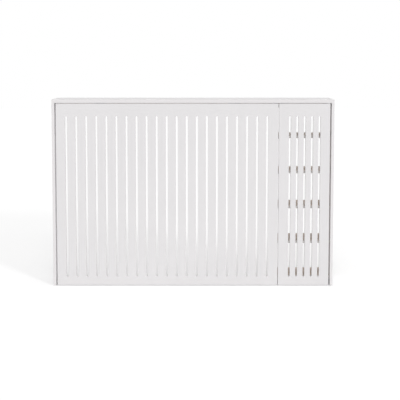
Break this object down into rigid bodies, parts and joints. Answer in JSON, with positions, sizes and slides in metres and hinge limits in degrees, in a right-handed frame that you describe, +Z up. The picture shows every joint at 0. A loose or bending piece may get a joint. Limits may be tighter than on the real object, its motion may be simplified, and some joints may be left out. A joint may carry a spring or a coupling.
{
  "type": "radiator cover cabinet",
  "caption": "Low white cabinet that hides a wall radiator behind a lift-off slotted panel, with shelves behind a narrow slotted door.",
  "frame": {"origin": "on the floor, under the middle of the cabinet's footprint", "axes": "+X to the viewer's right along the front, +Y from the front towards the wall, +Z up"},
  "size_m": [1.22, 0.19, 0.815],
  "materials": {
    "white_lacquered_board": "smooth white satin lacquer on medium-density fibreboard",
    "primed_inner_board": "thin warm off-white coat on medium-density fibreboard",
    "beech": "raw fluted beech",
    "zinc": "die-cast and plated furniture fittings",
    "plated_steel": "bright zinc-plated steel",
    "white_plastic": "moulded white nylon",
    "magnet": "dark sintered magnet",
    "clear_bumper": "clear soft self-adhesive bumper"
  },
  "bodies": {
    "cabinet": {"top_panel": "white_lacquered_board", "left_side_panel": "white_lacquered_board", "right_side_panel": "white_lacquered_board", "divider_panel": "white_lacquered_board", "bottom_board": "primed_inner_board", "shelf_1": "primed_inner_board", "shelf_2": "primed_inner_board", "shelf_3": "primed_inner_board", "shelf_4": "primed_inner_board", "top_back_rail": "primed_inner_board", "storage_back_rail": "primed_inner_board", "lower_front_rail": "white_lacquered_board", "cam_locks": "zinc", "cam_bolts": "zinc", "wooden_dowels": "beech", "shelf_pins": "zinc", "panel_glides": "white_plastic", "lower_pivot_bracket": "plated_steel", "upper_pivot_plate": "plated_steel", "pivot_pins": "plated_steel", "thrust_washer": "white_plastic", "pivot_screws": "plated_steel", "catch_housings": "white_plastic", "catch_magnets": "magnet", "catch_screws": "plated_steel", "peg_sockets": "white_plastic", "push_latch_body": "white_plastic", "latch_spring": "plated_steel", "latch_screws": "plated_steel"},
    "lift_off_grille": {"grille_panel": "white_lacquered_board", "strike_plates": "plated_steel", "strike_screws": "plated_steel", "locating_pegs": "white_plastic"},
    "door": {"door_panel": "white_lacquered_board", "pivot_bushes": "white_plastic", "latch_strike_disc": "plated_steel", "latch_strike_screw": "plated_steel", "door_bumpers": "clear_bumper"},
    "latch_plunger": {"push_latch_plunger": "white_plastic", "latch_magnet": "magnet"}
  },
  "joints": [
    {"name": "door_hinge", "type": "hinge", "parent": "cabinet", "child": "door", "pos_m": [0.5865, -0.087, 0.4], "axis": [0, 0, 1], "range_deg": [0, 100]},
    {"name": "grille_lift_off", "type": "slide", "parent": "cabinet", "child": "lift_off_grille", "axis": [0, -1, 0], "range_m": [0, 0.1]},
    {"name": "latch_press", "type": "slide", "parent": "cabinet", "child": "latch_plunger", "axis": [0, 1, 0], "range_m": [0, 0.003], "stiffness_N_per_m": 400, "springref_m": -0.004, "deforming": ["latch_spring"]}
  ]
}
